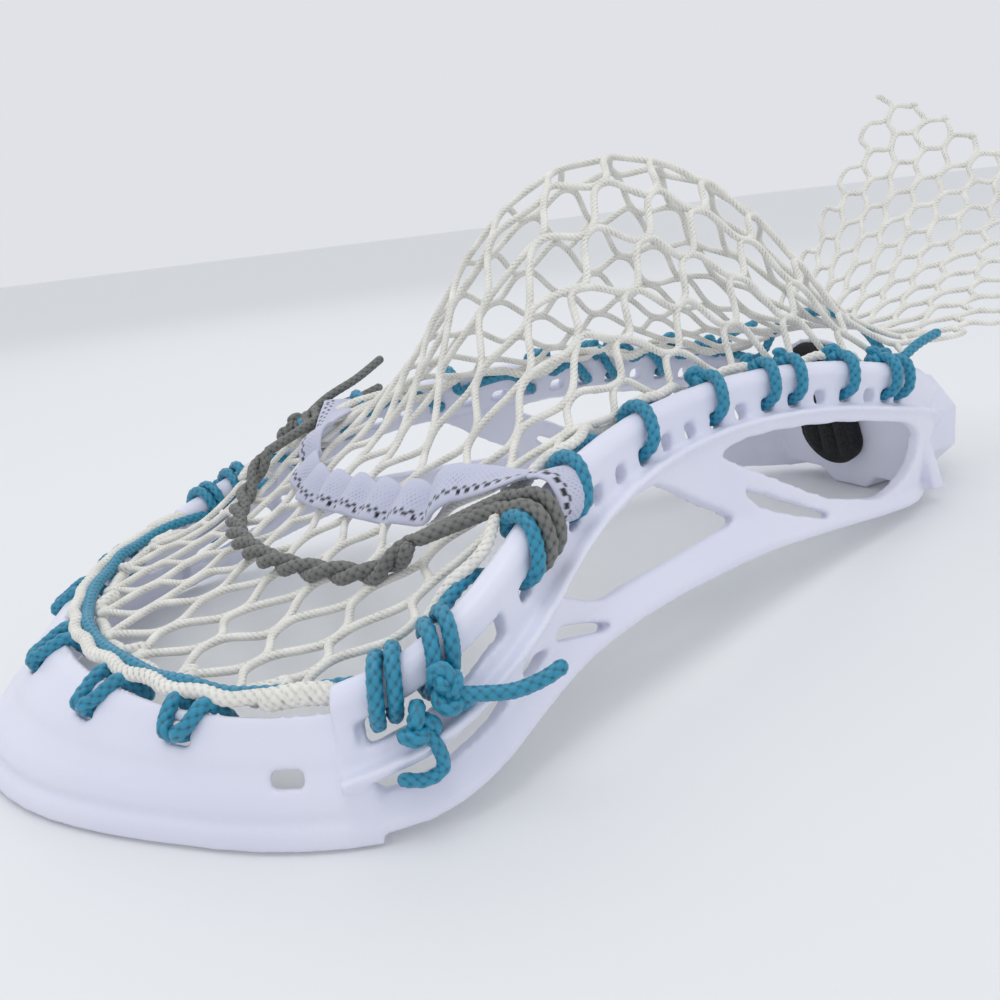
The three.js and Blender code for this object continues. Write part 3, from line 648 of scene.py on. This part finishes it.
def edge_strand(builder, side):
    """The net's outer strand, laid over and beside the side string."""
    points = []
    for x in np.arange(74, 236, 4.0):
        angle = math.radians(115 + 65 * math.sin(2 * math.pi * x / 31 + 0.7 * side))
        points.append(rail_point(x, -4.9 + 2.6 * math.cos(angle), -2.4 - 2.6 * math.sin(angle), side))
    tube(builder, points, diameter=2.4, step=0.42, sides=14, around=4, pitch=1.6, relief=0.3)


def scoop_bands(builder):
    """The net's first row gathered in two bands beside the top string."""
    for inward_by, lift, phase in ((1.7, 3.3, 0.0), (6.7, 0.6, 1.3)):
        points = []
        for station in np.linspace(-5.75, 5.75, 47):
            _, _, _, edge, inward = scoop_axes(station)
            sway = 0.4 * math.sin(station * 6 + phase)
            points.append(edge + inward * (inward_by + sway) + np.array([0, 0, lift + 0.5 * sway]))
        thick = 1 if inward_by > 5 else 1.1
        tube(builder, points, diameter=2.5 * thick, step=0.42, sides=16, around=4, pitch=1.7, relief=0.3)
    for k, station in enumerate((-5.1, -4.6, -3.1, -1.4, 1.1, 2.9, 4.5, 5.1)):  # knotted loops along it
        _, along, _, edge, inward = scoop_axes(station)
        lean = (-1) ** k
        route = [edge + inward * 5 - along * 1.5 * lean, edge + inward * 6.6 + np.array([0, 0, 1.6]),
                 edge + inward * 8.6 + along * 1.6 * lean + np.array([0, 0, 2.1]),
                 edge + inward * 10.2 + along * 2.4 * lean + np.array([0, 0, 2.3])]
        tube(builder, route, diameter=3.1, step=0.4, sides=16, around=4, pitch=1.3, relief=0.3)
    for side in (-1, 1):  # the gathered corners
        _, along, _, edge, inward = scoop_axes(side * 5.55)
        route = [edge + inward * 1.6 - along * 7 * side + np.array([0, 0, 3.0]),
                 edge + inward * 2 + np.array([0, 0, 3.6]),
                 edge + inward * 2.4 + along * 6 * side + np.array([0, 0, 3.2])]
        tube(builder, route, diameter=4.2, step=0.4, sides=20, around=6, pitch=1.5, relief=0.25)


# ---------------------------------------------------------------- side strings
TURN = ((-5.0, -0.8, -4.6), (-3.5, -3.6, -3.6), (0, -4.7, -2.6), (3.4, -3.3, -1.6), (4.7, 0, -0.8),
        (4.0, 3.9, -0.2), (0, 5.6, 0), (-4.0, 4.6, 0.6))
LACED = (1, 3, 4, 6, 9, 12, 14)     # string holes that the side strings pass, from the throat
KNOTTED = (1, 3, 4, 6)
RUN = (-4.9, -2.4)                  # where a side string runs between them


def turn_points(x, side):
    tangent = wall_axes(station_at(x))[3]
    return [rail_point(x - ahead * tangent[0], o, d, side) for o, d, ahead in TURN]


def run_points(start, end, side):
    count = max(round((start - end - 10) / 9), 1)
    return [rail_point(lerp(start - 4, end + 7, (i + 0.5) / count), *RUN, side) for i in range(count)]


def lashing(x, turns, spread, side):
    """Turns of cord round the rail and through a corner slot."""
    points = []
    for angle in np.arange(-90, 360 * turns - 60, 45):
        a = math.radians(angle)
        reach = 4.7 + 1.0 * max(-math.cos(a), 0) ** 3
        shift = spread * (angle / (360 * turns) - 0.5)
        points.append(rail_point(x - shift, reach * math.sin(a), -reach * math.cos(a), side))
    return points


def side_string(side):
    builder = Builder()
    xs = [HOLES[i] for i in LACED]
    points = [rail_point(HOLES[0] + 4, *RUN, side)]
    for i, x in enumerate(xs):
        following = xs[i + 1] if i + 1 < len(xs) else CORNER_SLOTS_X[1] + 3
        points += turn_points(x, side)
        if x - following > 12:
            points += run_points(x, following, side)
    points += lashing(CORNER_SLOTS_X[1], 2, 6.4, side)[1:]
    tube(builder, points)
    for i in KNOTTED:
        x = HOLES[i]
        knot(builder, rail_point(x + 2.6, -3.3, -4.3, side), (1, 0, 0.2), 0.85, turn=i * 0.9, diameter=2.6)
    place_tail(builder, side)
    return builder


def place_tail(builder, side):
    """The string's knot on the outside of its lashing, and its free end."""
    flip = np.array([1, side, 1])
    centre = np.array([73.0, 78.5, 23.6]) * flip
    knot(builder, centre, (0.3, side, 0.1), 1.0)
    knot(builder, centre + np.array([-1.2, 0, 3.0]), (1, 0, 0.5), 0.75, turn=1.0)
    free = [centre, centre + np.array([3.5, 1.5 * side, -0.5]), np.array([81.5, 82.8, 23.0]) * flip,
            np.array([86.5, 84.2, 24.0]) * flip, np.array([90.6, 84.6, 25.4]) * flip]
    tube(builder, free, diameter=2.7)


def side_strings():
    for side, name in ((-1, "right"), (1, "left")):
        thing = side_string(side).build(f"{name}_side_string", TEAL)
        place(thing, "teal_cord", f"{name}_sidewall_string")


# ---------------------------------------------------------------- top string
def slot_loop(station):
    """A loop of the top string through one slot: a V whose ends go under the net's first row."""
    middle, along, normal, edge, inward = scoop_axes(station)
    up = np.array([0, 0, 1.0])
    points = []
    for way in (-1, 1):
        leg = [edge + along * way * 3.6 + inward * 4.4 - up * 3.2,
               edge + along * way * 3.7 + inward * 2.3 + up * 0.2,
               edge + along * way * 3.4 + inward * 0.2 + up * 2.5,
               lerp(edge, middle, 0.55) + along * way * 2.4 + normal * 2.0,
               middle + along * way * 1.2 + normal * 1.4, middle + along * way * 0.5 - normal * 1.6]
        points += leg if way < 0 else leg[::-1]
    return points


def top_string():
    builder = Builder()
    for station in SCOOP_SLOTS:
        tube(builder, slot_loop(station))
    route = lashing(CORNER_SLOTS_X[0], 2, 5.6, -1)
    for station in np.linspace(-5.5, 5.5, 17):
        _, _, _, edge, inward = scoop_axes(station)
        route.append(edge + inward * 4.1 + np.array([0, 0, 2.9 + 0.4 * math.cos(station * 3.6)]))
    route += lashing(CORNER_SLOTS_X[0], 2, 5.6, 1)[::-1]
    tube(builder, route)
    for side in (-1, 1):
        flip = np.array([1, side, 1])
        centre = np.array([66.5, 77.8, 20.2]) * flip
        knot(builder, centre, (0.4, side, 0.3), 1.05, turn=0.5)
        free = [centre, np.array([68.6, 79.4, 16.5]) * flip, np.array([68.8, 79.8, 12.6]) * flip,
                np.array([66.0, 79.6, 11.6]) * flip, np.array([61.5, 78.8, 13.0]) * flip]
        tube(builder, free, diameter=2.4)
    place(builder.build("top_string_cord", TEAL), "teal_cord", "top_string")


# ---------------------------------------------------------------- throat string
def throat_string():
    builder = Builder()
    for side in (-1, 1):
        for x in THROAT_HOLES_X:
            points = turn_points(x, side)
            tube(builder, points)
            knot(builder, rail_point(x + 2.4, -3.2, -4.2, side), (1, 0, 0.2), 0.85, turn=x, diameter=2.6)
        start = rail_point(THROAT_HOLES_X[1] + 3, 1.5, -4.6, side)
        end = rail_point(THROAT_HOLES_X[1] + 16, 6.5, -13.0, side)
        tube(builder, [start, lerp(start, end, 0.4) + np.array([0, 0, 0.8]), end], diameter=2.7)
    across = [over_net(238, y, 2.7) for y in (-24, -16, -8, 0, 8, 16, 24)]
    ends = [rail_point(THROAT_HOLES_X[1] + 4, -6.5, -2.5, side) for side in (-1, 1)]
    tube(builder, [ends[0], *across, ends[1]])
    place(builder.build("throat_cord", TEAL), "teal_cord", "throat_string")


# ---------------------------------------------------------------- shooting strings
CORD_ROUTE = ((84, -51), (77, -43), (71, -31), (66, -18), (63, -3), (63, 16), (67, 32), (74, 45), (84, 51))
LACE_FOLDS = 8
LACE_ROUTE = ((98, -44), (93, -38), (89, -25), (86, -3), (84, 16), (87, 31), (92, 38), (98, 43))
CORD_RAIL_X = 98.4
LACE_RAIL_X = 106.5
TICK_LENGTH = 2.3       # from one black tick of the lace to the next
OVER_RAIL = ((-8.8, -5.6), (-5.2, -5.6), (-2.4, -5.3), (1, -5.4), (4.2, -3.7), (5.4, 0),
             (4.9, 3.2), (2.2, 5.6), (-2.4, 5.6), (-5.6, 4.2))


def rail_end(x, side, lift=1.0):
    return [rail_point(x, o * lift, d * lift, side) for o, d in OVER_RAIL]


def twisted_pair(builder, base, radius, turn_length, **style):
    """Two cords laid round each other along base, a little flattened on the net."""
    points, run = resample(base, 1.0)
    u, v = frames_along(points)
    for phase in (0, math.pi):
        angle = 2 * np.pi * run / turn_length + phase
        offset = u * (radius * 0.8 * np.sin(angle))[:, None] + v * (radius * np.cos(angle))[:, None]
        tube(builder, points + offset, **style)


def shooting_cord():
    builder = Builder()
    height = 2.5
    middle = [over_net(x, y, height + smooth(abs(y), 42, 52) * 4) for x, y in CORD_ROUTE]
    twisted_pair(builder, middle, 1.35, 19, diameter=2.8)
    for side, end in ((-1, middle[0]), (1, middle[-1])):
        for shift in (-1.4, 1.4):
            route = [end, *rail_end(CORD_RAIL_X + shift, side)[1:]]
            tube(builder, route, diameter=2.8)
    knot(builder, np.array([93.5, 68.5, 40.5]), (0.2, 1, 0.2), 1.25, diameter=2.8)
    knot(builder, np.array([95.5, 67.5, 43.0]), (1, 0.3, 0.2), 0.9, turn=1, diameter=2.8)
    for end in ((126.0, 69.5, 58.0), (124.0, 68.5, 49.5)):
        start = np.array([94.5, 68.0, 42.0])
        route = [start, lerp(start, np.array(end), 0.35) + np.array([0, 0.5, 1.2]),
                 lerp(start, np.array(end), 0.7), end]
        tube(builder, route, diameter=2.6)
    place(builder.build("grey_shooting_cord", GREY), "grey_cord", "shooting_cord")


def ribbon(builder, centres, normals, width, thickness):
    """A flat woven lace through centres, facing normals; width is given at each."""
    tangent = unit(np.gradient(centres, axis=0))
    across = unit(np.cross(normals, tangent))
    normal = np.cross(tangent, across)
    run = length_along(centres)
    count = 15
    share = np.linspace(-1, 1, count)
    rounded = np.sqrt(np.clip(1 - np.abs(share) ** 5, 0.04, 1))
    top = braid(share * 2.6, run[:, None], 9.0, 1.15, 0.4)
    rows = []
    crowns = []
    marks = []
    place_across = share[None, :] * width[:, None] / 2
    for sign, order in ((1, slice(None)), (-1, slice(None, None, -1))):
        s = share[order]
        high = sign * (thickness / 2 * rounded[order] + 0.16 * (top[:, order] - 0.5))
        rows.append(centres[:, None] + across[:, None] * (s[None, :, None] * width[:, None, None] / 2)
                    + normal[:, None] * high[..., None])
        # the weave's height, for the painted shade in the lace's hollows
        crowns.append(top[:, order])
        beat = run[:, None] / TICK_LENGTH
        first = (np.abs(np.abs(place_across[:, order] - 3.2)) < 0.45) & ((beat % 1) < 0.5)
        second = (np.abs(np.abs(place_across[:, order] - 2.1)) < 0.4) & (((beat + 0.5) % 1) < 0.4)
        marks.append((first | second).astype(float))
    ring = np.concatenate(rows, axis=1)
    columns = ring.shape[1]
    points = np.vstack([ring.reshape(-1, 3), ring[0].mean(0)[None], ring[-1].mean(0)[None]])
    crown = np.concatenate([np.concatenate(crowns, axis=1).ravel(), [0.5, 0.5]])
    mark = np.concatenate([np.concatenate(marks, axis=1).ravel(), [0, 0]])
    builder.add(points, ring_faces(len(centres), columns), crown, mark)


def shooting_lace():
    """The lace goes over and under the net's strands, so it lies in overlapping folds."""
    builder = Builder()
    route = catmull(np.array([(x, y, 0) for x, y in LACE_ROUTE]), np.linspace(0, 1, 61))
    share = length_along(route) / length_along(route)[-1]
    fold = (share * LACE_FOLDS) % 1
    wave = np.sin(np.pi * np.clip(fold * 1.15, 0, 1)) ** 0.7
    climb = 3.0 * smooth(np.abs(route[:, 1]), 34, 45)
    centres = np.array([over_net(p[0], p[1], 0.9 + 2.6 * w + c) for p, w, c in zip(route, wave, climb)])
    flat = np.array([unit(over_net(p[0], p[1], 1.0) - over_net(p[0], p[1], 0.0)) for p in route])
    tangent = unit(np.gradient(route, axis=0))
    across = unit(np.cross(flat, tangent))
    lean = (0.5 - fold) * 0.4 * smooth(wave, 0, 0.5)
    flat = unit(flat + tangent * lean[:, None] + across * 0.2)
    ends = []
    for side in (-1, 1):
        turned = np.array(rail_end(LACE_RAIL_X, side, 0.84)[2:9])
        out = unit(turned - rail_point(LACE_RAIL_X, 0, 0, side))
        ends.append((turned, out))
    all_centres = np.vstack([ends[0][0][::-1], centres[1:-1], ends[1][0]])
    all_normals = np.vstack([ends[0][1][::-1], flat[1:-1], ends[1][1]])
    run = length_along(all_centres)
    width = np.concatenate([np.full(7, 10.0), 8.8 + 2.4 * wave[1:-1], np.full(7, 9.5)])
    fine = np.linspace(0, run[-1], 640)
    centre_line = np.stack([np.interp(fine, run, all_centres[:, k]) for k in range(3)], axis=1)
    normals = np.stack([np.interp(fine, run, all_normals[:, k]) for k in range(3)], axis=1)
    for _ in range(12):
        centre_line[1:-1] = 0.5 * centre_line[1:-1] + 0.25 * (centre_line[:-2] + centre_line[2:])
        normals[1:-1] = 0.5 * normals[1:-1] + 0.25 * (normals[:-2] + normals[2:])
    ribbon(builder, centre_line, unit(normals), np.interp(fine, run, width), 1.3)
    place(builder.build("lilac_shooting_lace", LACE), "lace", "shooting_lace")


# ---------------------------------------------------------------- ball stop pad
PAD_CORNER = 0.985


def ball_stop_pad():
    """Foam pad with a round lower end and three soft ridges down its face."""
    width, length, thickness = PAD_SIZE
    width *= PAD_SEEN
    half = width / 2
    top, foot = np.array([STOP_TOP[0], 0, STOP_TOP[1]]), np.array([STOP_FOOT[0], 0, STOP_FOOT[1]])
    up = unit(top - foot)
    across = np.array([0, -1.0, 0])
    facing = np.cross(across, up)
    origin = top - up * PAD_DROP + facing * GAP
    angle = np.linspace(0, 2 * np.pi, 120, endpoint=False)
    corner = np.sign(np.cos(angle)) * np.abs(np.cos(angle)) ** 0.72 * half * PAD_CORNER
    low = half - length + np.sin(angle) * half
    high = np.sign(np.sin(angle)) * np.abs(np.sin(angle)) ** 0.3 * (length - half)
    y_edge = np.where(np.sin(angle) < 0, low, half - length + high)
    x_edge = np.where(np.sin(angle) < 0, np.cos(angle) * half, corner)
    middle = np.array([0, -length / 2])
    builder = Builder()
    rings = []
    levels = [(1.0, 0.0), (1.0, 0.35), (0.995, 0.7), (0.97, 0.92), (0.93, 1.0)] + [
        (s, 1.0) for s in np.linspace(0.88, 0.04, 22)]
    for scale, height in levels:
        x = x_edge * scale
        y = middle[1] + (y_edge - middle[1]) * scale
        inside = smooth(scale, 0.93, 0.8) if scale < 0.93 else 0.0
        waves = np.abs(np.cos(np.pi * x / 6.2)) ** 0.6 - 0.5
        ridges = 1.9 * inside * waves * smooth(half - 1 - np.abs(x), 0, 2)
        z = height * thickness + ridges * smooth(length / 2 - np.abs(y - middle[1]), 3, 8)
        rings.append(origin + x[:, None] * across + y[:, None] * up + z[:, None] * facing)
    ring = np.array(rings)
    points = np.vstack([ring.reshape(-1, 3), ring[0].mean(0)[None], ring[-1].mean(0)[None]])
    builder.add(points, ring_faces(len(levels), len(angle)), np.full(len(points), 0.5))
    thing = place(builder.build("foam_ball_stop", FOAM), "foam", "ball_stop_pad")


# ---------------------------------------------------------------- studio
FLOOR_SIZE = 30
WORLD_STRENGTH = 0.8
LIGHTS = (              # name, place, size in metres, power in watts
    ("key", (-0.2, -0.15, 0.95), 0.45, 1.5),
    ("fill", (0.9, -0.5, 0.7), 1.0, 0.4),
    ("back", (0.1, 0.9, 0.8), 0.8, 1.0),
)


def studio():
    material, _, _, shader = new_material("backdrop", 0.75, specular=0.2)
    shader.inputs["Base Color"].default_value = (0.86, 0.87, 0.87, 1)
    bpy.ops.mesh.primitive_plane_add(size=FLOOR_SIZE, location=(0, 0, -0.0002))
    floor = bpy.context.object
    floor.name = "floor"
    floor.data.materials.append(material)
    world = bpy.data.worlds.new("studio")
    bpy.context.scene.world = world
    world.use_nodes = True
    world.node_tree.nodes["Background"].inputs["Color"].default_value = (0.93, 0.95, 1.0, 1)
    world.node_tree.nodes["Background"].inputs["Strength"].default_value = WORLD_STRENGTH
    for name, where, size, power in LIGHTS:
        light = bpy.data.lights.new(name, "AREA")
        light.energy, light.size = power, size
        lamp = bpy.data.objects.new(name, light)
        bpy.context.scene.collection.objects.link(lamp)
        lamp.location = where
        lamp.rotation_euler = (Vector((0, 0, 0.04)) - Vector(where)).to_track_quat("-Z", "Y").to_euler()


CAMERA_ANGLES = (-27.0119, 16.8590, -6.8978)  # azimuth, elevation, roll in degrees
CAMERA_PLACE = (-0.14593, -0.19971, 0.09424)
LENS, SENSOR = 32.975, 36


def camera():
    bpy.context.scene.view_settings.view_transform = "Standard"
    azimuth, elevation, roll = (math.radians(a) for a in CAMERA_ANGLES)
    back = Vector((math.sin(azimuth) * math.cos(elevation), -math.cos(azimuth) * math.cos(elevation),
                   math.sin(elevation)))
    right = Vector((math.cos(azimuth), math.sin(azimuth), 0))
    up = back.cross(right)
    x_axis = right * math.cos(roll) + up * math.sin(roll)
    y_axis = up * math.cos(roll) - right * math.sin(roll)
    data = bpy.data.cameras.new("camera")
    data.sensor_width, data.lens = SENSOR, LENS
    data.clip_start, data.clip_end = 0.01, 50
    thing = bpy.data.objects.new("camera", data)
    turn = Matrix((x_axis, y_axis, back)).transposed().to_4x4()
    thing.matrix_world = Matrix.Translation(CAMERA_PLACE) @ turn
    bpy.context.scene.collection.objects.link(thing)
    bpy.context.scene.camera = thing


camera()
finish_frame()
net_piece()
side_strings()
top_string()
throat_string()
shooting_cord()
shooting_lace()
ball_stop_pad()
studio()
